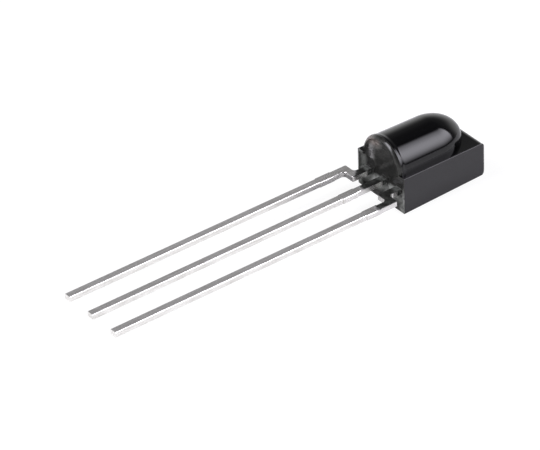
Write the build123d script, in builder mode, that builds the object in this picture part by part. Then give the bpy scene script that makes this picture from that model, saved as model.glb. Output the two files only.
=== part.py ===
"""Infrared receiver module: a black cast-epoxy case with a half-round lens, on a three-lead frame.

Frame of the part: the origin is the centre of the middle lead where it leaves the case. +Y runs
through the case, away from the leads, and +Z is the way the lens looks. The lead frame lies in
the XY plane, half way up the block of the case. Lengths are in millimetres, angles in degrees.
"""

from build123d import *
import os
from math import radians, tan

os.makedirs("parts", exist_ok=True)

# Case: cast in a cup-shaped mould and drawn out of it along -Y
case_width = 5.0  # at the open end
case_length = 7.2  # from the open end to the far end
block_depth = 2.83  # at the open end, back to front, without the lens
mould_draft = 1.0  # each long wall of the block leans in towards the far end
far_corner_radius = 0.3  # upright corners of the far end
far_back_radius = 0.6  # far end into the back
far_front_radius = 0.55  # far end into the front
edge_radius = 0.06  # every other edge of the block, and the rim of the open end

# Lens: a barrel that tapers with the mould's draft, closed by a dome over the photodiode
lens_radius = 2.02  # at the open end
barrel_length = 4.0  # from the open end to the foot of the dome
dome_setback = 0.6  # from the tip of the dome to the far end
lens_sink = 0.06  # how far the lens axis lies under the block's front face
lens_root_radius = 0.05  # lens into block
bead_length = 0.65  # a shallow bead round the lens at the open end
bead_rise = 0.05
bead_round = 0.32  # the rounded edge from the bead down to the open end

# Open end: the resin crept up the mould and the leads before it set, so its face is a bowl
lip_width = 0.16
bowl_depth = 0.42
bowl_side_curve = 0.65  # how far the curved side of the bowl reaches in, beside the leads and at the front
bowl_arch_curve = 0.85  # the same, round the lens
bank_foot = 0.9  # towards the back a bank rises from this far behind the leads' middle plane
bank_crest = 0.1  # to this far behind it, where it meets the floor
skirt_spread = 0.13  # how far the resin reaches out from each lead on the floor of the bowl
skirt_height = 0.13  # how far it climbs the lead
skirt_slope = 45.0

# Lead frame: one stamped strip, cut apart into three leads
lead_pitch = 2.54
lead_width = 0.56
frame_thickness = 0.42
lead_length = 24.0  # from the open end to the cut tips
entry_offset = 1.6  # the outer leads enter the case this far from the middle one
jog_start = 0.8  # from the open end to the jog that takes an outer lead out to the grid
jog_width = 0.55
jog_inner_radius = 0.25  # hollow corners of the jog
jog_outer_radius = 0.12  # its outward corner
stub_start = 2.2  # stubs of the bar that joined the leads until the case was cast
stub_width = 1.2
stub_height = 0.05
stamped_edge = 0.03  # rounding of the long stamped edges

# Lead frame inside the case
neck_length = 1.45  # from the open end to the paddle that carries the chips
paddle_width = 3.3
paddle_length = 4.2
paddle_corner_radius = 0.3
paddle_notch_radius = 0.25  # half-round notches that key the paddle into the resin
pad_start = 0.6  # from the open end to the bonding pad of an outer lead
pad_length = 0.6
pad_inward = 0.35  # how far a pad reaches past its lead, towards the middle
pad_outward = 0.15

# Chips on the paddle, each on a layer of silver-filled adhesive
glue_thickness = 0.03
glue_margin = 0.05
diode_side = 1.4
diode_thickness = 0.28
amplifier_width = 1.3
amplifier_length = 1.0
amplifier_thickness = 0.25
chip_gap = 0.55

# Bond wires: a ball on a chip, a loop, and a foot pressed onto the next metal surface
wire_diameter = 0.03
wire_rise = 0.2  # from the chip to the top of the loop
wire_bend = 0.07
ball_diameter = 0.09
ball_thickness = 0.025
foot_length = 0.12
foot_width = 0.07
foot_thickness = 0.024
bond_inset = 0.15  # from a chip's edge to the middle of a bond
bond_spread = 0.4  # from the middle of the amplifier chip to its outer bonds
ground_bond_start = 0.8  # from the open end to the ground wire's foot, on the neck

# Worked out from the sizes above
lean = case_length * tan(radians(mould_draft))
lens_axis_height = block_depth / 2 - lens_sink
dome_length = case_length - dome_setback - barrel_length
dome_radius = lens_radius - barrel_length * tan(radians(mould_draft))
frame_top = frame_thickness / 2
chip_bottom = frame_top + glue_thickness
diode_top = chip_bottom + diode_thickness
amplifier_top = chip_bottom + amplifier_thickness
diode_y = barrel_length  # under the middle of the dome
amplifier_y = diode_y - diode_side / 2 - chip_gap - amplifier_length / 2

# The floor of the bowl, looking out of the case along -Y: local x is +X, local y is +Z
bowl_floor = Plane(origin=(0, bowl_depth, 0), x_dir=(1, 0, 0), z_dir=(0, -1, 0))


def make_block():
    """The block of the case: its plan crossed with its side view, both with the mould's draft.

    The long edges and those of the open end are rounded while the far corners are still sharp.
    """
    half_width = case_width / 2
    half_depth = block_depth / 2
    with BuildPart() as block:
        Box(2 * case_width, 2 * case_length, 2 * block_depth)
        for far_end_rounded in (False, True):
            with BuildSketch(Plane.XY) as plan:
                with BuildLine():
                    Polyline(
                        (-half_width, 0),
                        (half_width, 0),
                        (half_width - lean, case_length),
                        (lean - half_width, case_length),
                        close=True,
                    )
                make_face()
                if far_end_rounded:
                    fillet(plan.vertices().group_by(Axis.Y)[-1], far_corner_radius)
            extrude(amount=block_depth, both=True, mode=Mode.INTERSECT)
            with BuildSketch(Plane.YZ) as side_view:
                with BuildLine():
                    Polyline(
                        (0, -half_depth),
                        (case_length, lean - half_depth),
                        (case_length, half_depth - lean),
                        (0, half_depth),
                        close=True,
                    )
                make_face()
                if far_end_rounded:
                    far_corners = side_view.vertices().group_by(Axis.X)[-1].sort_by(Axis.Y)
                    fillet(far_corners[0], far_back_radius)
                    fillet(side_view.vertices().group_by(Axis.X)[-1].sort_by(Axis.Y)[-1], far_front_radius)
            extrude(amount=case_width, both=True, mode=Mode.INTERSECT)
            if not far_end_rounded:
                fillet(block.edges() - block.edges().group_by(Axis.Y)[-1], edge_radius)
    return block.part


def make_lens():
    """The lens as a full turned body round its own axis: rounded bead, barrel and dome."""
    with BuildPart() as lens:
        with BuildSketch(Plane.YZ):
            with BuildLine():
                rounding = EllipticalCenterArc(
                    (bead_round, lens_radius - bead_round),
                    bead_round,
                    bead_round + bead_rise,
                    start_angle=90,
                    arc_size=90,
                )
                foot = (bead_length, lens_radius - bead_length * tan(radians(mould_draft)))
                fall = TangentArc(rounding @ 0, foot, tangent=(1, 0))
                Line(fall @ 1, (barrel_length, dome_radius))
                dome = EllipticalCenterArc(
                    (barrel_length, 0), dome_length, dome_radius, start_angle=0, arc_size=90
                )
                Polyline(dome @ 0, (0, 0), rounding @ 1)
            make_face()
        revolve(axis=Axis.Y)
    return lens.part.moved(Location((0, 0, lens_axis_height)))


def make_bowl():
    """What the curved face of the resin leaves empty at the open end.

    In the block it is its plan crossed with its side view. Under the lens it is a turned body.
    """
    half_width = case_width / 2 - lip_width
    front = block_depth / 2 - lip_width
    arch_radius = lens_radius - lip_width
    with BuildPart() as arch:
        with BuildSketch(Plane.YZ):
            with BuildLine():
                curve = EllipticalCenterArc(
                    (0, arch_radius - bowl_arch_curve), bowl_depth, bowl_arch_curve, start_angle=0, arc_size=90
                )
                Polyline(curve @ 1, (0, 0), (bowl_depth, 0), curve @ 0)
            make_face()
        revolve(axis=Axis.Y)
    with BuildPart() as bowl:
        with BuildSketch(Plane.XY):
            with BuildLine():
                right = EllipticalCenterArc(
                    (half_width - bowl_side_curve, 0), bowl_side_curve, bowl_depth, start_angle=0, arc_size=90
                )
                left = EllipticalCenterArc(
                    (bowl_side_curve - half_width, 0), bowl_side_curve, bowl_depth, start_angle=90, arc_size=90
                )
                Line(right @ 1, left @ 0)
                Line(left @ 1, right @ 0)
            make_face()
        extrude(amount=block_depth, both=True)
        with BuildSketch(Plane.YZ):
            with BuildLine():
                curve = EllipticalCenterArc(
                    (0, front - bowl_side_curve), bowl_depth, bowl_side_curve, start_angle=0, arc_size=90
                )
                Polyline(curve @ 1, (0, -bank_foot), (bowl_depth, -bank_crest), curve @ 0)
            make_face()
        extrude(amount=case_width, both=True, mode=Mode.INTERSECT)
        add(arch.part.moved(Location((0, 0, lens_axis_height))))
    return bowl.part


def make_case(block, lens, bowl, cast_in):
    """The casting: block, lens and bowl, round the pieces that are cast in."""
    with BuildPart() as case:
        add(block)
        add(lens)
        front = block_depth / 2
        root = case.edges().filter_by_position(Axis.Z, front - lean, front)
        root = root.filter_by(lambda edge: bead_length < (edge @ 0.5).Y < barrel_length + dome_length)
        root = root.filter_by_position(Axis.X, -lens_radius, lens_radius)
        fillet(root, lens_root_radius)
        add(bowl, mode=Mode.SUBTRACT)
        with BuildSketch(bowl_floor):
            with Locations((-entry_offset, 0), (0, 0), (entry_offset, 0)):
                RectangleRounded(
                    lead_width + 2 * skirt_spread, frame_thickness + 2 * skirt_spread, skirt_spread
                )
        extrude(amount=skirt_height, taper=skirt_slope)
        for piece in cast_in:
            add(piece, mode=Mode.SUBTRACT)
    return case.part


def make_middle_lead():
    """The ground lead: a straight strip that widens inside the case into the paddle."""
    with BuildPart() as lead:
        with BuildSketch(Plane.XY):
            with Locations((0, (neck_length - lead_length) / 2)):
                Rectangle(lead_width, neck_length + lead_length)
            with Locations((0, -stub_start - stub_width / 2)):
                Rectangle(lead_width + 2 * stub_height, stub_width)
            with Locations((0, neck_length + paddle_length / 2)):
                RectangleRounded(paddle_width, paddle_length, paddle_corner_radius)
            notch_y = amplifier_y + amplifier_length / 2 + chip_gap / 2
            with Locations((-paddle_width / 2, notch_y), (paddle_width / 2, notch_y)):
                Circle(paddle_notch_radius, mode=Mode.SUBTRACT)
        extrude(amount=frame_thickness / 2, both=True)
        chamfer(lead.edges().filter_by(Axis.Y), stamped_edge)
    return lead.part


def make_outer_lead(side):
    """The lead at side -1 or 1: a bonding pad in the case, then a jog that takes it to the grid."""
    entry_inner = side * (entry_offset - lead_width / 2)
    entry_outer = side * (entry_offset + lead_width / 2)
    grid_inner = side * (lead_pitch - lead_width / 2)
    grid_outer = side * (lead_pitch + lead_width / 2)
    jog_end = jog_start + jog_width
    pad_x = entry_offset + (pad_outward - pad_inward) / 2
    with BuildPart() as lead:
        with BuildSketch(Plane.XY):
            with BuildLine():
                FilletPolyline(
                    (entry_inner, pad_start),
                    (entry_inner, -jog_end),
                    (grid_inner, -jog_end),
                    (grid_inner, -lead_length),
                    radius=(jog_outer_radius, jog_inner_radius),
                )
                FilletPolyline(
                    (entry_outer, pad_start),
                    (entry_outer, -jog_start),
                    (grid_outer, -jog_start),
                    (grid_outer, -lead_length),
                    radius=(jog_inner_radius, jog_outer_radius),
                )
                Line((entry_inner, pad_start), (entry_outer, pad_start))
                Line((grid_inner, -lead_length), (grid_outer, -lead_length))
            make_face()
            with Locations((side * lead_pitch, -stub_start - stub_width / 2)):
                Rectangle(lead_width + 2 * stub_height, stub_width)
            with Locations((side * pad_x, pad_start + pad_length / 2)):
                Rectangle(lead_width + pad_inward + pad_outward, pad_length)
        extrude(amount=frame_thickness / 2, both=True)
        chamfer(lead.edges().filter_by(Axis.Y), stamped_edge)
    return lead.part


def make_plate(width, length, thickness, bottom, centre_y):
    """A flat rectangular piece on the paddle: a chip, or the adhesive under it."""
    with BuildPart() as plate:
        with BuildSketch(Plane.XY.offset(bottom)):
            with Locations((0, centre_y)):
                Rectangle(width, length)
        extrude(amount=thickness)
    return plate.part


def make_glue(width, length, centre_y):
    """The adhesive under a chip of this size, squeezed out a little all round."""
    return make_plate(width + 2 * glue_margin, length + 2 * glue_margin, glue_thickness, frame_top, centre_y)


def make_bond_wire(start, end):
    """A wire from a ball on a chip's top to a foot on another surface, both given as points."""
    run = Vector(end[0] - start[0], end[1] - start[1], 0)
    along = run.normalized()
    upright = Plane(origin=start, x_dir=along, z_dir=along.cross(Vector(0, 0, 1)))
    foot_height = end[2] - start[2] + wire_diameter / 2
    with BuildPart() as wire:
        with BuildLine(upright) as path:
            Polyline(
                (0, ball_thickness / 2),
                (0, wire_rise - wire_bend),
                (wire_bend, wire_rise),
                (run.length - foot_length / 2, foot_height),
                (run.length + foot_length / 2, foot_height),
            )
        with BuildSketch(Plane(origin=path.line @ 0, z_dir=path.line % 0)):
            RegularPolygon(wire_diameter / 2, 8)
        sweep(transition=Transition.RIGHT)
        with BuildSketch(Plane(origin=start)):
            Circle(ball_diameter / 2)
        extrude(amount=ball_thickness)
        with BuildSketch(Plane(origin=end, x_dir=along)):
            Rectangle(foot_length, foot_width)
        extrude(amount=foot_thickness)
    return wire.part


def main():
    """Builds every piece, casts the case round them and writes one STEP file for each."""
    diode_bond = (0, diode_y - diode_side / 2 + bond_inset, diode_top)
    signal_bond = (0, amplifier_y + amplifier_length / 2 - bond_inset, amplifier_top)
    near_y = amplifier_y - amplifier_length / 2 + bond_inset
    pad_bond = (entry_offset - pad_inward / 2, pad_start + pad_length / 2, frame_top)
    cast_in = {
        "lead_output": make_outer_lead(-1),
        "lead_ground": make_middle_lead(),
        "lead_supply": make_outer_lead(1),
        "photodiode_glue": make_glue(diode_side, diode_side, diode_y),
        "photodiode_chip": make_plate(diode_side, diode_side, diode_thickness, chip_bottom, diode_y),
        "amplifier_glue": make_glue(amplifier_width, amplifier_length, amplifier_y),
        "amplifier_chip": make_plate(
            amplifier_width, amplifier_length, amplifier_thickness, chip_bottom, amplifier_y
        ),
        "wire_signal": make_bond_wire(diode_bond, signal_bond),
        "wire_ground": make_bond_wire((0, near_y, amplifier_top), (0, ground_bond_start, frame_top)),
        "wire_output": make_bond_wire(
            (-bond_spread, near_y, amplifier_top), (-pad_bond[0], pad_bond[1], pad_bond[2])
        ),
        "wire_supply": make_bond_wire((bond_spread, near_y, amplifier_top), pad_bond),
    }
    case = make_case(make_block(), make_lens(), make_bowl(), cast_in.values())
    for name, piece in {"case": case, **cast_in}.items():
        piece.label = name
        export_step(piece, f"parts/{name}.step")


main()
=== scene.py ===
"""An infrared receiver module: a black epoxy case with a domed lens, on three tinned leads.

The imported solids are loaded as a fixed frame. This script models the case's finely curved skin,
gives every piece its finish, and sets up a plain white studio with its lights and camera.
Shapes are worked out in millimetres and brought to metres when a piece is done.
"""

from __future__ import annotations

import logging
import math
from dataclasses import dataclass, field
from enum import Enum
from typing import Callable

import bpy
from mathutils import Matrix, Vector

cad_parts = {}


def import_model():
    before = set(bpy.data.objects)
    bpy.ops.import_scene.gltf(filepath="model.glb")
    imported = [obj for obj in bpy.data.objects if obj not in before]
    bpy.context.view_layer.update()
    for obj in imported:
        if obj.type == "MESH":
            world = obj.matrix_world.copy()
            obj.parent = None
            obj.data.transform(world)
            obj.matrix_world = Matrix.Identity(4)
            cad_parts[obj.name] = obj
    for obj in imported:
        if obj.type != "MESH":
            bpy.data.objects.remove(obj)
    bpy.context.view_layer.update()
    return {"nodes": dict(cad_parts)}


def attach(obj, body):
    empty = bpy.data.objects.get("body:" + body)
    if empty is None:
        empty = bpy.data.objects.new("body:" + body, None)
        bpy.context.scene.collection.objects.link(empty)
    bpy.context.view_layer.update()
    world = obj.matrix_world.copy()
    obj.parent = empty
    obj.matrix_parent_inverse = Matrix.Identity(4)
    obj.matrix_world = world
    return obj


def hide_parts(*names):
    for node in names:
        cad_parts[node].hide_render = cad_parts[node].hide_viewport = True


log = logging.getLogger("receiver")

MM = 0.001
NEAR = 0.01  # millimetres within which two places count as one
MERGE = 0.0005  # millimetres within which two corners are merged
WHITE = (1.0, 1.0, 1.0)

Triple = tuple[float, float, float]
Step = tuple[float, float]  # where a soft step begins, and where it is complete
Grain = tuple[float, float, float]  # a noise: its lumps to the millimetre, detail and roughness
Ring = tuple[float, float]  # a ring of a round body: its place along Y, and its radius


def squared(step: Step) -> Step:
    """A step on a distance, turned into one on its square."""
    return step[0] ** 2, step[1] ** 2


def scaled(colour: Triple, share: float) -> Triple:
    """A colour made darker or lighter."""
    return tuple(share * part for part in colour)


# ---------------------------------------------------------------- shader maths


class Sock:
    """A node socket, or a plain number, that takes part in arithmetic."""

    def __init__(self, graph: "Graph", source: object) -> None:
        """Keeps the graph that new Math nodes go into, and the socket or number."""
        self.graph = graph
        self.source = source

    def _math(self, operation: str, *others: object, clamp: bool = False) -> "Sock":
        """One Math node on this value and the others."""
        return self.graph.node(
            "ShaderNodeMath", {"operation": operation, "use_clamp": clamp}, *(self, *others)
        )

    def __add__(self, other: object) -> "Sock":
        """This value plus another."""
        return self._math("ADD", other)

    __radd__ = __add__

    def __mul__(self, other: object) -> "Sock":
        """This value times another."""
        return self._math("MULTIPLY", other)

    __rmul__ = __mul__

    def __sub__(self, other: object) -> "Sock":
        """This value less another."""
        return self._math("SUBTRACT", other)

    def __rsub__(self, other: object) -> "Sock":
        """Another value less this one."""
        return self.graph.value(other)._math("SUBTRACT", self)

    def clamped(self) -> "Sock":
        """This value held between 0 and 1."""
        return self._math("ADD", 0.0, clamp=True)

    def larger(self, other: object) -> "Sock":
        """The larger of this value and another."""
        return self._math("MAXIMUM", other)

    def ramp(self, start: float, end: float) -> "Sock":
        """A soft step: 0 before start, 1 past end, and smooth between them.

        Args:
            start: the value at which the step begins.
            end: the value at which it is complete, on either side of start.

        Returns:
            The step, as a socket.
        """
        return self.graph.node(
            "ShaderNodeMapRange",
            {"interpolation_type": "SMOOTHSTEP", "clamp": True},
            self,
            start,
            end,
            0.0,
            1.0,
        )


class Graph:
    """The node tree of one material or world, built from expressions."""

    def __init__(self, tree: bpy.types.NodeTree) -> None:
        """Empties the tree."""
        self.tree = tree
        tree.nodes.clear()

    def value(self, source: object) -> Sock:
        """A number or socket, ready for arithmetic."""
        return source if isinstance(source, Sock) else Sock(self, source)

    def node(
        self, kind: str, settings: dict[str, object], *inputs: object, **named: object
    ) -> Sock:
        """Adds a node of any type and returns its first enabled output.

        Args:
            kind: the node's type.
            settings: its properties, set before its sockets.
            inputs: values or links for its enabled inputs, in order.
            named: values or links for inputs by name, with underscores for spaces.

        Returns:
            The node's first enabled output.
        """
        made = self.tree.nodes.new(kind)
        for name, setting in settings.items():
            setattr(made, name, setting)
        sockets = [socket for socket in made.inputs if socket.enabled]
        for socket, given in zip(sockets, inputs):
            self._feed(socket, given)
        for name, given in named.items():
            self._feed(made.inputs[name.replace("_", " ")], given)
        first = next(socket for socket in made.outputs if socket.enabled)
        return Sock(self, first)

    def output(self, sock: Sock, name: str) -> Sock:
        """Another output of the node that a socket belongs to."""
        return Sock(self, sock.source.node.outputs[name])

    def _feed(self, socket: bpy.types.NodeSocket, given: object) -> None:
        """Links a socket, or sets its value; None leaves it alone."""
        if given is None:
            return
        if isinstance(given, Sock):
            given = given.source
        if isinstance(given, bpy.types.NodeSocket):
            self.tree.links.new(given, socket)
        elif isinstance(given, tuple) and socket.type == "RGBA":
            socket.default_value = (*given, 1.0)
        else:
            socket.default_value = given

    def blend(self, share: object, first: object, second: object) -> Sock:
        """Colours mixed by a share: 0 gives the first, 1 the second."""
        settings = {"data_type": "RGBA", "blend_type": "MIX", "clamp_factor": True}
        return self.node("ShaderNodeMix", settings, share, first, second)

    def place_mm(self) -> Sock:
        """Where a point of the piece lies, in millimetres."""
        spot = self.output(self.node("ShaderNodeTexCoord", {}), "Object")
        return self.node("ShaderNodeVectorMath", {"operation": "SCALE"}, spot, 1.0 / MM)

    def facing(self) -> tuple[Sock, Sock, Sock]:
        """How far the surface faces along X, Y and Z, each from -1 to 1."""
        return self.axes(self.output(self.node("ShaderNodeTexCoord", {}), "Normal"))

    def near(self, spot: Sock, place: Triple) -> Sock:
        """How far a point lies from a place, in the same units."""
        made = self.node("ShaderNodeVectorMath", {"operation": "DISTANCE"}, spot, place)
        return self.output(made, "Value")

    def stretched(self, spot: Sock, factors: Triple) -> Sock:
        """A place stretched along each axis, for grain that runs one way."""
        return self.node("ShaderNodeVectorMath", {"operation": "MULTIPLY"}, spot, factors)

    def axes(self, spot: Sock) -> tuple[Sock, Sock, Sock]:
        """The X, Y and Z of a place."""
        split = self.node("ShaderNodeSeparateXYZ", {}, spot)
        return split, self.output(split, "Y"), self.output(split, "Z")

    def noise(self, spot: Sock, grain: Grain) -> Sock:
        """Soft noise from 0 to 1."""
        return self.node("ShaderNodeTexNoise", {}, spot, *grain)

    def bump(self, height: Sock, strength: float, depth_mm: float, under: object = None) -> Sock:
        """A relief for a shader's normal.

        Args:
            height: the relief, from 0 to 1.
            strength: how strongly it shows.
            depth_mm: its depth, in millimetres.
            under: the relief that it lies on, if any.

        Returns:
            The normal.
        """
        return self.node(
            "ShaderNodeBump",
            {},
            Strength=strength,
            Distance=depth_mm * MM,
            Height=height,
            Normal=under,
        )

    def finish(self, shader: Sock, kind: str = "ShaderNodeOutputMaterial") -> None:
        """Joins the shader to the output of a material, lamp or world."""
        out = self.tree.nodes.new(kind)
        self.tree.links.new(shader.source, out.inputs["Surface"])


# ---------------------------------------------------------------- finishes


@dataclass(frozen=True)
class Resin:
    """Black epoxy that passes infrared, glossy from the mould.

    Where it set in the open air it is wavy. Over its lower row, its side walls and a patch at the
    crown its colour is paler: partly paler resin spread there, partly a painted highlight of the
    left softbox on the lower row and a painted reflection in the crown's patch.
    Its side faces carry a painted sheen, a lighter colour that stands in for their reflection of
    the white table. Places, steps along X, Y and Z, and depths are in millimetres.
    """

    name: str = "black_resin"
    body: Triple = (0.0018, 0.0018, 0.0021)
    body_cloud: float = 1.5
    open_air: Triple = (0.010, 0.0095, 0.0080)
    open_air_cloud: float = 0.45
    # Paler resin and painted highlight: the lower row and side walls of the open end are made
    # paler, on the row standing in for the left softbox's highlight.
    smear_and_highlight: Triple = (0.190, 0.197, 0.182)
    # Painted reflection: the paler patch at the crown of the open end.
    crown_painted_reflection: Triple = (0.180, 0.150, 0.132)
    # Painted sheen: the side faces are made lighter, standing in for their reflection of the white
    # table.
    painted_side_sheen: Triple = (0.0175, 0.0166, 0.0184)
    flank_out: Step = (2.27, 2.35)
    open_depth: Step = (0.46, 0.40)
    open_facing: Step = (-0.10, -0.30)
    row_bottom: Step = (-0.95, -0.50)
    row_top: Step = (0.02, -0.33)
    wall_out: Step = (1.85, 2.25)
    wall_down: Step = (0.9, -0.4)
    wall_left: Step = (0.0, -1.0)
    wall_share: float = 0.8
    crown_spot: Triple = (-1.05, 0.2, 2.58)
    crown_reach: Step = (0.90, 0.25)
    crown_share: float = 0.90
    stray_share: float = 0.08
    blot_edge: Step = (0.32, 0.54)
    blot_depth: float = 0.60
    cloud_noise: Grain = (1.1, 4.0, 0.6)
    grain_noise: Grain = (14.0, 3.0, 0.6)
    swell_noise: Grain = (2.2, 2.0, 0.5)
    speck_noise: Grain = (9.0, 2.0, 0.7)
    wave_noise: Grain = (2.4, 2.0, 0.5)
    blot_noise: Grain = (3.6, 5.0, 0.65)
    gloss: float = 0.07
    haze: float = 0.05
    speck_edge: Step = (0.66, 0.74)
    speck_haze: float = 0.05
    open_air_roughness: float = 0.13
    smear_roughness: float = 0.30
    grain_share: float = 0.35
    fine_bump: float = 0.06
    fine_depth: float = 0.01
    blot_relief: float = 0.3
    wave_bump: float = 0.5
    wave_depth: float = 0.05
    ior: float = 1.52
    sheen_level: float = 0.40

    def smear_and_highlight_share(self, spot: Sock, set_open: Sock, blots: Sock, crown: Sock) -> Sock:
        """How much paler colour lies over a point: partly paler resin, partly painted highlight and
        reflection.

        Args:
            spot: the point, in millimetres.
            set_open: how far the surface set in the open air.
            blots: the noise that breaks the smears up.
            crown: how much of the crown's patch covers the point.

        Returns:
            The share, from 0 to 1.
        """
        across, _, up = spot.graph.axes(spot)
        # Painted highlight: the lower row is made paler where the left softbox lights its slope.
        row = up.ramp(*self.row_bottom) * up.ramp(*self.row_top)
        walls = (across * across).ramp(*squared(self.wall_out)) * self.wall_share
        walls = walls * up.ramp(*self.wall_down).larger(across.ramp(*self.wall_left))
        where = row.larger(walls).larger(crown) + self.stray_share
        blotted = blots.ramp(*self.blot_edge) * self.blot_depth + (1.0 - self.blot_depth)
        return (set_open * where * blotted).clamped()

    def material(self) -> bpy.types.Material:
        """Builds the material."""
        made = bpy.data.materials.new(self.name)
        made.use_nodes = True
        graph = Graph(made.node_tree)
        spot = graph.place_mm()
        across, along, _ = graph.axes(spot)
        _, facing, _ = graph.facing()
        set_open = along.ramp(*self.open_depth) * facing.ramp(*self.open_facing)
        clouds = graph.noise(spot, self.cloud_noise)
        grain, swell = graph.noise(spot, self.grain_noise), graph.noise(spot, self.swell_noise)
        specks = graph.noise(spot, self.speck_noise).ramp(*self.speck_edge)
        waves = graph.noise(spot, self.wave_noise)
        blots = graph.noise(spot, self.blot_noise)
        # Painted reflection: a paler patch round the crown spot.
        crown = graph.near(spot, self.crown_spot).ramp(*self.crown_reach) * self.crown_share
        smear_and_highlight_share = self.smear_and_highlight_share(spot, set_open, blots, crown)
        # Painted sheen: lighter colour on the side faces beyond the flank step.
        flank = (across * across).ramp(*squared(self.flank_out))
        plain = graph.blend(clouds, self.body, scaled(self.body, self.body_cloud))
        skin = graph.blend(flank, plain, self.painted_side_sheen)
        air = graph.blend(clouds, self.open_air, scaled(self.open_air, self.open_air_cloud))
        # Paler resin mixed with painted highlight and painted reflection.
        smear_and_painted_light = graph.blend(crown, self.smear_and_highlight, self.crown_painted_reflection)
        colour = graph.blend(smear_and_highlight_share, graph.blend(set_open, skin, air), smear_and_painted_light)
        roughness = (
            self.gloss
            + self.haze * clouds
            + self.speck_haze * specks
            + set_open * (self.open_air_roughness - self.gloss)
            + smear_and_highlight_share * (self.smear_roughness - self.open_air_roughness)
        )
        skin_relief = grain * self.grain_share + swell * (1.0 - self.grain_share)
        open_relief = set_open * (waves + (blots + smear_and_highlight_share) * self.blot_relief)
        fine = graph.bump(skin_relief, self.fine_bump, self.fine_depth)
        wavy = graph.bump(open_relief, self.wave_bump, self.wave_depth, fine)
        shader = graph.node(
            "ShaderNodeBsdfPrincipled",
            {},
            Base_Color=colour,
            Roughness=roughness,
            IOR=self.ior,
            Specular_IOR_Level=self.sheen_level,
            Normal=wavy,
        )
        graph.finish(shader)
        return made


@dataclass(frozen=True)
class Tin:
    """Tin plate on stamped leads: satin and faintly drawn along the lead.

    Near the case the tops of the leads are darkened, further on the supply lead than on the output
    lead: partly a thin dark coat of resin, partly painted shade where the tops mirror the dark case
    end.
    Inside the bowl the leads are paler all round: partly a paler layer of resin, partly a painted
    highlight that carries the lit lower row of the bowl across them.
    Reaches, depths and steps along X and Y are in millimetres.
    """

    name: str = "tin_plate"
    bright: Triple = (0.90, 0.89, 0.87)
    worn: Triple = (0.68, 0.665, 0.64)
    worn_edge: Step = (0.35, 0.7)
    drawing: Triple = (7.0, 0.5, 7.0)
    drawn_noise: Grain = (1.0, 4.0, 0.6)
    patch_noise: Grain = (0.9, 4.0, 0.6)
    blotch_noise: Grain = (3.0, 3.0, 0.6)
    # Painted shade over a thin dark coat of resin: the darkening of the lead tops near the case.
    film_and_shade: Triple = (0.036, 0.038, 0.034)
    film_and_shade_dark: Triple = (0.008, 0.008, 0.007)
    # Painted highlight over a paler layer of resin: the leads inside the bowl, where the bowl's lit
    # lower row crosses them.
    crust_and_highlight: Triple = (0.150, 0.156, 0.144)
    crust_from: Step = (-0.4, 0.1)
    blotch_edge: Step = (0.4, 0.6)
    output_side: Step = (-0.9, -2.0)
    supply_side: Step = (0.9, 2.0)
    film_reach: float = 1.80
    film_run: float = 0.70
    film_halt: float = 1.00
    film_fade: Step = (-0.15, 0.30)
    film_ragged: float = 0.7
    film_facing: Step = (0.2, 0.7)
    all_round: Step = (-0.25, 0.0)
    metal: float = 0.86
    film_dulling: float = 0.8
    roughness: float = 0.25
    patch_roughness: float = 0.14
    near_roughness: float = 0.16
    near_zone: Step = (-2.4, -4.5)
    output_share: float = 0.7
    film_roughness: float = 0.42
    drawn_relief: float = 0.6
    film_relief: float = 1.5
    bump_strength: float = 0.25
    bump_depth: float = 0.01

    def material(self) -> bpy.types.Material:
        """Builds the material."""
        made = bpy.data.materials.new(self.name)
        made.use_nodes = True
        graph = Graph(made.node_tree)
        spot = graph.place_mm()
        across, along, _ = graph.axes(spot)
        _, _, upward = graph.facing()
        drawn = graph.noise(graph.stretched(spot, self.drawing), self.drawn_noise)
        patches = graph.noise(spot, self.patch_noise)
        blotches = graph.noise(spot, self.blotch_noise)
        output, supply = across.ramp(*self.output_side), across.ramp(*self.supply_side)
        ragged = along + (blotches - 0.5) * self.film_ragged
        creep = ragged + self.film_run * supply - self.film_halt * output
        fade_from, fade_to = (edge - self.film_reach for edge in self.film_fade)
        # Painted shade: only faces that look up are darkened, where the tops mirror the dark case
        # end; inside the bowl every face is covered.
        covered = upward.ramp(*self.film_facing).larger(along.ramp(*self.all_round))
        filmed_and_shaded = creep.ramp(fade_from, fade_to) * covered
        mottle = blotches.ramp(*self.blotch_edge)
        wear = ((drawn + patches) * 0.5).ramp(*self.worn_edge)
        plate = graph.blend(wear, self.bright, self.worn)
        # Painted shade on the lead tops near the case, over a thin dark coat of resin.
        thin = graph.blend(mottle, self.film_and_shade, self.film_and_shade_dark)
        # Painted highlight inside the bowl, over a paler layer of resin.
        thick = graph.blend(mottle, self.crust_and_highlight, self.film_and_shade)
        resin = graph.blend(along.ramp(*self.crust_from), thin, thick)
        away = along.ramp(*self.near_zone).larger(output * self.output_share)
        added = self.roughness - self.near_roughness + self.patch_roughness * patches
        roughness = (
            self.near_roughness
            + away * added
            + filmed_and_shaded * (self.film_roughness - self.near_roughness)
        )
        blotch_relief = (1.0 - self.drawn_relief) + filmed_and_shaded * self.film_relief
        relief = drawn * self.drawn_relief + blotches * blotch_relief
        shader = graph.node(
            "ShaderNodeBsdfPrincipled",
            {},
            Base_Color=graph.blend(filmed_and_shaded, plate, resin),
            Metallic=self.metal - filmed_and_shaded * self.film_dulling,
            Roughness=roughness,
            Normal=graph.bump(relief, self.bump_strength, self.bump_depth),
        )
        graph.finish(shader)
        return made


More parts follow.
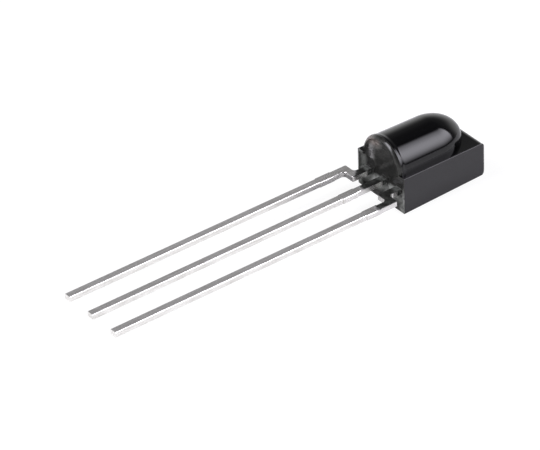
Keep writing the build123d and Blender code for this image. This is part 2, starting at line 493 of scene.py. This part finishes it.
@dataclass(frozen=True)
class Inner:
    """A finish of the sealed pieces: silicon, silver adhesive or gold wire."""

    name: str
    light: Triple
    dark: Triple
    metallic: float
    roughness: float
    cloud_noise: Grain
    uneven: float = 0.15
    bump_strength: float = 0.2
    bump_depth: float = 0.005

    def material(self) -> bpy.types.Material:
        """Builds the material."""
        made = bpy.data.materials.new(self.name)
        made.use_nodes = True
        graph = Graph(made.node_tree)
        cloud = graph.noise(graph.place_mm(), self.cloud_noise)
        shader = graph.node(
            "ShaderNodeBsdfPrincipled",
            {},
            Base_Color=graph.blend(cloud, self.dark, self.light),
            Metallic=self.metallic,
            Roughness=self.roughness + self.uneven * cloud,
            Normal=graph.bump(cloud, self.bump_strength, self.bump_depth),
        )
        graph.finish(shader)
        return made


# ---------------------------------------------------------------- modelling helpers


class Combine(Enum):
    """How one closed piece acts on another."""

    UNION = "UNION"
    CUT = "DIFFERENCE"


class Element(Enum):
    """What is picked in edit mode."""

    EDGE = "EDGE"
    FACE = "FACE"


class Bench:
    """Hand modelling with Blender's operators, in millimetres."""

    @staticmethod
    def clear() -> None:
        """Leaves nothing selected, in object mode."""
        if bpy.context.object is not None and bpy.context.object.mode != "OBJECT":
            bpy.ops.object.mode_set(mode="OBJECT")
        bpy.ops.object.select_all(action="DESELECT")

    @staticmethod
    def take(piece: bpy.types.Object) -> None:
        """Makes one piece the selected and active one."""
        Bench.clear()
        piece.select_set(True)
        bpy.context.view_layer.objects.active = piece

    @staticmethod
    def block(name: str, low: Vector, high: Vector) -> bpy.types.Object:
        """A cube primitive stretched to two corners.

        Args:
            name: the piece's name.
            low: its lowest corner.
            high: its highest corner.

        Returns:
            The block, with its place in its mesh.
        """
        Bench.clear()
        bpy.ops.mesh.primitive_cube_add(size=1.0, location=(low + high) / 2, scale=high - low)
        piece = bpy.context.object
        piece.name = name
        bpy.ops.object.transform_apply(location=True, rotation=True, scale=True)
        return piece

    @staticmethod
    def pick(
        piece: bpy.types.Object, element: Element, wanted: Callable[[list[Vector]], bool]
    ) -> None:
        """Selects the edges or faces whose corners satisfy a test, and stays in edit mode.

        Args:
            piece: the piece to edit.
            element: whether edges or faces are picked.
            wanted: the test, given the corners of an edge or face.
        """
        Bench.take(piece)
        bpy.ops.object.mode_set(mode="EDIT")
        bpy.ops.mesh.select_mode(type=element.value)
        bpy.ops.mesh.select_all(action="DESELECT")
        bpy.ops.object.mode_set(mode="OBJECT")
        points = [vertex.co for vertex in piece.data.vertices]
        items = piece.data.edges if element is Element.EDGE else piece.data.polygons
        for item in items:
            item.select = wanted([points[index] for index in item.vertices])
        bpy.ops.object.mode_set(mode="EDIT")

    @staticmethod
    def done() -> None:
        """Leaves edit mode."""
        bpy.ops.object.mode_set(mode="OBJECT")

    @staticmethod
    def combine(piece: bpy.types.Object, other: bpy.types.Object, how: Combine) -> None:
        """Joins another piece to this one, or cuts it away, and removes the other.

        Args:
            piece: the piece that stays.
            other: the piece that is used up.
            how: whether it is joined or cut away.
        """
        Bench.take(piece)
        boolean = piece.modifiers.new("combine", "BOOLEAN")
        boolean.operation = how.value
        boolean.solver = "EXACT"
        boolean.object = other
        bpy.ops.object.modifier_apply(modifier=boolean.name)
        bpy.data.objects.remove(other)

    @staticmethod
    def turned(
        name: str, rings: list[Ring], centre_z: float, sides: int
    ) -> bpy.types.Object:
        """A round body along Y, drawn out of a disc ring by ring.

        Args:
            name: the piece's name.
            rings: its rings, from one end to the other.
            centre_z: the height of its axis.
            sides: how many flats go round it.

        Returns:
            The closed body.
        """
        Bench.clear()
        start, radius = rings[0]
        bpy.ops.mesh.primitive_circle_add(
            vertices=sides,
            radius=radius,
            fill_type="NGON",
            location=(0, start, centre_z),
            rotation=(math.radians(90), 0, 0),
        )
        piece = bpy.context.object
        piece.name = name
        bpy.ops.object.transform_apply(location=True, rotation=True, scale=True)
        bpy.ops.object.mode_set(mode="EDIT")
        bpy.ops.mesh.select_mode(type="FACE")
        bpy.ops.mesh.select_all(action="SELECT")
        for (last_y, last_r), (next_y, next_r) in zip(rings, rings[1:]):
            onward = (0, next_y - last_y, 0)
            bpy.ops.mesh.extrude_region_move(TRANSFORM_OT_translate={"value": onward})
            share = next_r / last_r
            bpy.ops.transform.resize(
                value=(share, share, share), center_override=(0, next_y, centre_z)
            )
        bpy.ops.mesh.select_all(action="SELECT")
        bpy.ops.mesh.normals_make_consistent(inside=False)
        bpy.ops.object.mode_set(mode="OBJECT")
        return piece

    @staticmethod
    def to_metres(piece: bpy.types.Object, smooth_below: float = 30.0) -> bpy.types.Object:
        """Brings a finished piece to metres, cleans it and shades its curves smoothly.

        Args:
            piece: the piece, in millimetres.
            smooth_below: the angle in degrees up to which two faces shade as one.

        Returns:
            The same piece.
        """
        Bench.take(piece)
        bpy.ops.object.mode_set(mode="EDIT")
        bpy.ops.mesh.select_all(action="SELECT")
        bpy.ops.mesh.remove_doubles(threshold=MERGE)
        bpy.ops.mesh.normals_make_consistent(inside=False)
        bpy.ops.object.mode_set(mode="OBJECT")
        piece.scale = (MM, MM, MM)
        bpy.ops.object.transform_apply(location=True, rotation=True, scale=True)
        bpy.ops.object.shade_smooth_by_angle(angle=math.radians(smooth_below))
        even = piece.modifiers.new("even", "WEIGHTED_NORMAL")
        even.keep_sharp = True
        even.weight = 80
        bpy.ops.object.modifier_apply(modifier=even.name)
        return piece


# ---------------------------------------------------------------- the case


def quarter(steps: int, first: int) -> list[float]:
    """The angles of a quarter turn in equal steps, from step number first to the last."""
    return [math.radians(90 * step / steps) for step in range(first, steps + 1)]


@dataclass
class Case:
    """The epoxy case: a drafted block, its domed lens and the bowl at the open end.

    Sizes are in millimetres.
    """

    width: float = 5.0
    length: float = 7.2
    depth: float = 2.83
    draft: float = math.radians(1.0)
    far_corner_radius: float = 0.30
    far_back_radius: float = 0.60
    far_front_radius: float = 0.55
    edge_radius: float = 0.06
    lens_radius: float = 2.02
    barrel_length: float = 4.0
    dome_length: float = 2.6
    lens_sink: float = 0.06
    bead_length: float = 0.65
    bead_rise: float = 0.05
    bead_round: float = 0.32
    lip_width: float = 0.16
    bowl_depth: float = 0.42
    bowl_side_curve: float = 0.65
    bowl_arch_curve: float = 0.85
    bank_foot: float = 0.90
    bank_crest: float = 0.10
    entry_offset: float = 1.6
    lead_width: float = 0.56
    lead_thickness: float = 0.42
    skirt_spread: float = 0.13
    skirt_end_spread: float = 0.06
    skirt_height: float = 0.13
    skirt_root: float = 0.05
    skirt_round: float = 0.9
    dome_tip_share: float = 0.004
    rounding_steps: int = 10
    bead_steps: int = 9
    bead_fall_steps: int = 6
    dome_steps: int = 36
    bowl_steps: int = 14
    skirt_steps: int = 5
    sides: int = 160
    resin: Resin = field(default_factory=Resin)

    @property
    def lean(self) -> float:
        """How far each side leans in from the open end to the far end."""
        return self.length * math.tan(self.draft)

    @property
    def axis_height(self) -> float:
        """The height of the lens axis."""
        return self.depth / 2 - self.lens_sink

    def block(self) -> bpy.types.Object:
        """The drafted block with every edge rounded to its own radius."""
        half_w, half_d = self.width / 2, self.depth / 2
        low, high = Vector((-half_w, 0, -half_d)), Vector((half_w, self.length, half_d))
        piece = Bench.block("case_skin", low, high)
        far = self.length - NEAR
        Bench.pick(piece, Element.FACE, lambda corners: min(c.y for c in corners) > far)
        bpy.ops.transform.resize(
            value=(1 - self.lean / half_w, 1, 1 - self.lean / half_d),
            center_override=(0, self.length, 0),
        )
        Bench.done()
        self._weigh_edges(piece)
        Bench.take(piece)
        bevel = piece.modifiers.new("rounding", "BEVEL")
        bevel.limit_method = "WEIGHT"
        bevel.width = self.far_back_radius
        bevel.offset_type = "OFFSET"
        bevel.segments = self.rounding_steps
        bevel.use_clamp_overlap = False
        bpy.ops.object.modifier_apply(modifier=bevel.name)
        return piece

    def _weigh_edges(self, piece: bpy.types.Object) -> None:
        """Gives each edge of the block the share of the widest rounding that it takes."""
        weights = piece.data.attributes.new("bevel_weight_edge", "FLOAT", "EDGE")
        far = self.length - NEAR
        for edge in piece.data.edges:
            first, second = (piece.data.vertices[index].co for index in edge.vertices)
            if min(first.y, second.y) > far and abs(first.x - second.x) < NEAR:
                radius = self.far_corner_radius
            elif min(first.y, second.y) > far and first.z > 0:
                radius = self.far_front_radius
            elif min(first.y, second.y) > far:
                radius = self.far_back_radius
            else:
                radius = self.edge_radius
            weights.data[edge.index].value = radius / self.far_back_radius

    def bead(self) -> list[Ring]:
        """The bead's rings: rounded at the rim, then easing down onto the barrel."""
        rings = []
        lift = self.bead_round + self.bead_rise
        for angle in quarter(self.bead_steps, first=0):
            along = self.bead_round * (1 - math.cos(angle))
            rings.append((along, self.lens_radius - self.bead_round + lift * math.sin(angle)))
        foot = self.lens_radius - self.bead_length * math.tan(self.draft)
        crest = self.lens_radius + self.bead_rise
        for step in range(1, self.bead_fall_steps + 1):
            share = step / self.bead_fall_steps
            eased = 0.5 - 0.5 * math.cos(math.pi * share)
            along = self.bead_round + share * (self.bead_length - self.bead_round)
            rings.append((along, crest + eased * (foot - crest)))
        return rings

    def dome(self) -> list[Ring]:
        """The dome's rings, from its foot to its tip."""
        radius = self.lens_radius - self.barrel_length * math.tan(self.draft)
        rings = [(self.barrel_length, radius)]
        for angle in quarter(self.dome_steps, first=1)[:-1]:
            along = self.barrel_length + self.dome_length * math.sin(angle)
            rings.append((along, radius * math.cos(angle)))
        rings.append((self.barrel_length + self.dome_length, radius * self.dome_tip_share))
        return rings

    def lens(self) -> bpy.types.Object:
        """The lens: a rounded bead at the open end, a barrel with the mould's draft, and a dome."""
        return Bench.turned("lens", self.bead() + self.dome(), self.axis_height, self.sides)

    def bowl(self) -> bpy.types.Object:
        """What the curved face of the resin leaves empty at the open end."""
        half_w, front = self.width / 2 - self.lip_width, self.depth / 2 - self.lip_width
        curve, reach = self.bowl_side_curve, 1.0
        rise = (self.bank_foot - self.bank_crest) / curve
        low = -self.bank_foot - reach * rise
        piece = Bench.block("bowl", Vector((-half_w, -reach, low)), Vector((half_w, curve, front)))
        inner = curve - NEAR
        Bench.pick(
            piece, Element.EDGE, lambda corners: all(c.y > inner and c.z < 0 for c in corners)
        )
        bpy.ops.transform.translate(value=(0, 0, -self.bank_crest - low))
        Bench.done()
        Bench.pick(
            piece,
            Element.EDGE,
            lambda corners: all(c.y > inner for c in corners)
            and (abs(corners[0].x - corners[1].x) < NEAR or all(c.z > 0 for c in corners)),
        )
        bpy.ops.mesh.bevel(
            offset=curve, segments=self.bowl_steps, affect="EDGES", clamp_overlap=False
        )
        bpy.ops.mesh.select_all(action="SELECT")
        bpy.ops.transform.resize(value=(1, self.bowl_depth / curve, 1), center_override=(0, 0, 0))
        Bench.done()
        arch_radius = self.lens_radius - self.lip_width
        rings = [(-reach, arch_radius)]
        for angle in quarter(self.bowl_steps, first=0):
            inward = self.bowl_arch_curve * (1 - math.cos(angle))
            rings.append((self.bowl_depth * math.sin(angle), arch_radius - inward))
        arch = Bench.turned("arch", rings, self.axis_height, self.sides // 2)
        Bench.combine(piece, arch, Combine.UNION)
        return piece

    def skirt(self, offset: float) -> bpy.types.Object:
        """The resin that climbs a lead where it leaves the bowl's floor.

        Args:
            offset: how far the lead lies from the middle one.

        Returns:
            The skirt, a little sunk into the floor.
        """
        half_w = self.lead_width / 2 + self.skirt_spread
        half_t = self.lead_thickness / 2 + self.skirt_spread
        end = self.bowl_depth - self.skirt_height
        root = self.bowl_depth + self.skirt_root
        low, high = Vector((offset - half_w, end, -half_t)), Vector((offset + half_w, root, half_t))
        piece = Bench.block("skirt", low, high)
        Bench.pick(piece, Element.EDGE, lambda corners: abs(corners[0].y - corners[1].y) > NEAR)
        bpy.ops.mesh.bevel(
            offset=self.skirt_spread * self.skirt_round, segments=self.skirt_steps, affect="EDGES"
        )
        Bench.done()
        Bench.pick(piece, Element.FACE, lambda corners: max(c.y for c in corners) < end + NEAR)
        end_w = self.lead_width / 2 + self.skirt_end_spread
        end_t = self.lead_thickness / 2 + self.skirt_end_spread
        bpy.ops.transform.resize(
            value=(end_w / half_w, 1, end_t / half_t), center_override=(offset, end, 0)
        )
        Bench.done()
        return piece

    def build(self) -> bpy.types.Object:
        """Models the case's skin and puts it in place of the plain solid.

        Returns:
            The finished skin, in metres.
        """
        piece = self.block()
        Bench.combine(piece, self.lens(), Combine.UNION)
        Bench.combine(piece, self.bowl(), Combine.CUT)
        for side in (-1, 0, 1):
            Bench.combine(piece, self.skirt(side * self.entry_offset), Combine.UNION)
        Bench.to_metres(piece)
        piece.data.materials.clear()
        piece.data.materials.append(self.resin.material())
        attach(piece, "root")
        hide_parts("case")
        log.info("case skin: %d faces", len(piece.data.polygons))
        return piece


# ---------------------------------------------------------------- leads and sealed pieces


@dataclass
class LeadFrame:
    """The three tinned leads, the chips on the middle one, and the wires between them."""

    nodes: dict[str, bpy.types.Object]
    tin: Tin = field(default_factory=Tin)
    silicon: Inner = Inner(
        "silicon", (0.30, 0.31, 0.35), (0.16, 0.17, 0.21), 0.85, 0.12, (3.0, 4.0, 0.6)
    )
    adhesive: Inner = Inner(
        "silver_adhesive", (0.62, 0.62, 0.60), (0.42, 0.42, 0.40), 0.6, 0.5, (9.0, 4.0, 0.6)
    )
    gold: Inner = Inner(
        "gold_wire", (0.95, 0.74, 0.34), (0.80, 0.58, 0.22), 1.0, 0.2, (12.0, 4.0, 0.6)
    )

    def dress(self) -> None:
        """Gives every solid of the lead frame its finish."""
        finishes = {
            "lead_": self.tin.material(),
            "_chip": self.silicon.material(),
            "_glue": self.adhesive.material(),
            "wire_": self.gold.material(),
        }
        for name, node in self.nodes.items():
            for part, material in finishes.items():
                if part in name:
                    for slot in node.material_slots:
                        slot.material = material
                    log.info("dressed %s in %s", name, material.name)


# ---------------------------------------------------------------- studio


@dataclass(frozen=True)
class Softbox:
    """A big soft light that faces the part and fades at its foot, its top and its sides.

    Sizes are in millimetres. A radiance of 1 is a white surface in plain light. The steps are
    shares of its height, and the edge is a share of its width.
    """

    name: str
    aim: Triple
    width: float
    height: float
    radiance: float
    edge: float
    distance: float = 420.0
    colour: Triple = (0.935, 0.92, 1.0)
    foot: Step = (-0.10, 0.49)
    upper: Step = (0.55, 0.95)
    upper_fall: float = 0.60
    top: Step = (1.0, 0.85)

    def build(self) -> None:
        """Adds the lamp."""
        back = Vector(self.aim).normalized()
        right = Vector((0, 0, 1)).cross(back).normalized()
        data = bpy.data.lights.new(self.name, "AREA")
        data.shape = "RECTANGLE"
        data.size, data.size_y = self.width * MM, self.height * MM
        data.energy = self.radiance * data.size * data.size_y * math.pi
        data.color = self.colour
        data.use_nodes = True
        graph = Graph(data.node_tree)
        place = graph.output(graph.node("ShaderNodeNewGeometry", {}), "Parametric")
        across, height, _ = graph.axes(place)
        fall = (1.0 - self.upper_fall * height.ramp(*self.upper)) * height.ramp(*self.top)
        ends = across.ramp(0.0, self.edge) * across.ramp(1.0, 1.0 - self.edge)
        strength = height.ramp(*self.foot) * fall * ends
        glow = graph.node("ShaderNodeEmission", {}, Strength=strength)
        graph.finish(glow, "ShaderNodeOutputLight")
        lamp = bpy.data.objects.new(self.name, data)
        bpy.context.scene.collection.objects.link(lamp)
        turn = Matrix((right, back.cross(right), back)).transposed().to_4x4()
        lamp.matrix_world = Matrix.Translation(back * self.distance * MM) @ turn
        log.info("softbox %s", self.name)


@dataclass(frozen=True)
class TableTop:
    """White, with the object's shadow on it.

    Mirrored in the part, it glows less beside the case than under the leads, and has a painted
    shadow, a soft dark patch left of the open end. Places are in millimetres.
    """

    name: str = "white_table"
    lit: Triple = (0.80, 0.80, 0.80)
    lit_in_shade: Triple = (0.16, 0.16, 0.16)
    glow: float = 1.12
    glow_share: float = 0.80
    mirrored_share: float = 0.30
    front_share: float = 0.55
    front: Step = (-1.0, -5.0)
    shade_spot: Triple = (-4.2, -3.2, -1.5)
    shade_reach: Step = (5.5, 2.5)
    shade_depth: float = 0.80

    def material(self) -> bpy.types.Material:
        """Builds the material."""
        made = bpy.data.materials.new(self.name)
        made.use_nodes = True
        graph = Graph(made.node_tree)
        path = graph.node("ShaderNodeLightPath", {})
        glossy = graph.output(path, "Is Glossy Ray")
        mirrored = glossy.larger(graph.output(path, "Is Transmission Ray"))
        spot = graph.place_mm()
        _, along, _ = graph.axes(spot)
        shade = mirrored * graph.near(spot, self.shade_spot).ramp(*self.shade_reach)
        share = self.mirrored_share + self.front_share * along.ramp(*self.front)
        seen = path.larger(mirrored * (share - self.shade_depth * shade).clamped())
        colour = graph.blend(shade, self.lit, self.lit_in_shade)
        lit = graph.node("ShaderNodeBsdfDiffuse", {}, Color=colour)
        glow = graph.node("ShaderNodeEmission", {}, Color=WHITE, Strength=self.glow)
        graph.finish(graph.node("ShaderNodeMixShader", {}, seen * self.glow_share, lit, glow))
        return made


@dataclass
class Studio:
    """A white table and surroundings, two soft lights, and the camera. Places in millimetres."""

    table_contact: Triple = (0.0, 0.0, -1.418)
    table_tilt: float = math.radians(-2.873)
    table_size: float = 130.0
    table_top: TableTop = field(default_factory=TableTop)
    window: Softbox = Softbox("window", (0.60, 0.54, 0.445), 350.0, 447.0, 6.33, 0.05)
    left_box: Softbox = Softbox("left_box", (-0.18, -0.78, 0.62), 270.0, 520.0, 9.85, 0.25)
    sky_low: Step = (0.10, 0.60)
    sky_low_fall: float = 0.85
    sky_high: Step = (0.60, 0.80)
    sky_high_fall: float = 0.09
    sky_right: Step = (-0.1, 0.4)
    sky_right_fall: float = 0.9
    camera_azimuth: float = math.radians(53.98)
    camera_elevation: float = math.radians(34.78)
    camera_roll: float = math.radians(-2.26)
    camera_place: Triple = (197.3, -152.8, 170.0)
    focal_length: float = 299.2
    sensor_width: float = 36.0

    def table(self) -> None:
        """The white table that the case's edge and the lead tips rest on."""
        Bench.clear()
        bpy.ops.mesh.primitive_plane_add(size=self.table_size * MM)
        table = bpy.context.object
        table.name = "table"
        place = Matrix.Translation(Vector(self.table_contact) * MM)
        table.matrix_world = place @ Matrix.Rotation(self.table_tilt, 4, "X")
        bpy.ops.object.transform_apply(location=True, rotation=True, scale=True)
        table.data.materials.append(self.table_top.material())
        log.info("table")

    def surroundings(self) -> None:
        """White for the camera and near the horizon, and dimmer overhead and to the right."""
        world = bpy.data.worlds.new("surroundings")
        bpy.context.scene.world = world
        world.use_nodes = True
        graph = Graph(world.node_tree)
        heading = graph.output(graph.node("ShaderNodeTexCoord", {}), "Generated")
        right, _, height = graph.axes(heading)
        path = graph.node("ShaderNodeLightPath", {})
        sky = 1.0 - self.sky_low_fall * height.ramp(*self.sky_low)
        sky = sky - self.sky_high_fall * height.ramp(*self.sky_high)
        strength = sky * (1.0 - self.sky_right_fall * right.ramp(*self.sky_right))
        level = strength.larger(path)
        light = graph.node("ShaderNodeBackground", {}, Color=WHITE, Strength=level)
        graph.finish(light, "ShaderNodeOutputWorld")
        log.info("surroundings")

    def camera(self) -> None:
        """The camera, at the object's three-quarter view from the lead side."""
        az, el, roll = self.camera_azimuth, self.camera_elevation, self.camera_roll
        back = Vector((math.sin(az) * math.cos(el), -math.cos(az) * math.cos(el), math.sin(el)))
        level = Vector((0, 0, 1)).cross(back).normalized()
        upright = back.cross(level)
        right = math.cos(roll) * level + math.sin(roll) * upright
        up = math.cos(roll) * upright - math.sin(roll) * level
        data = bpy.data.cameras.new("camera")
        data.lens = self.focal_length
        data.sensor_width = self.sensor_width
        camera = bpy.data.objects.new("camera", data)
        bpy.context.scene.collection.objects.link(camera)
        turn = Matrix((right, up, back)).transposed().to_4x4()
        camera.matrix_world = Matrix.Translation(Vector(self.camera_place) * MM) @ turn
        bpy.context.scene.camera = camera
        log.info("camera")

    def build(self) -> None:
        """Sets up the table, surroundings, lights and camera."""
        self.table()
        self.surroundings()
        self.window.build()
        self.left_box.build()
        self.camera()
        bpy.context.scene.view_settings.view_transform = "Standard"


def main() -> None:
    """Builds the receiver round its frame, then the studio."""
    logging.basicConfig(level=logging.INFO, format="%(message)s")
    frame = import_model()
    Case().build()
    LeadFrame(frame["nodes"]).dress()
    Studio().build()


if __name__ == "__main__":
    main()
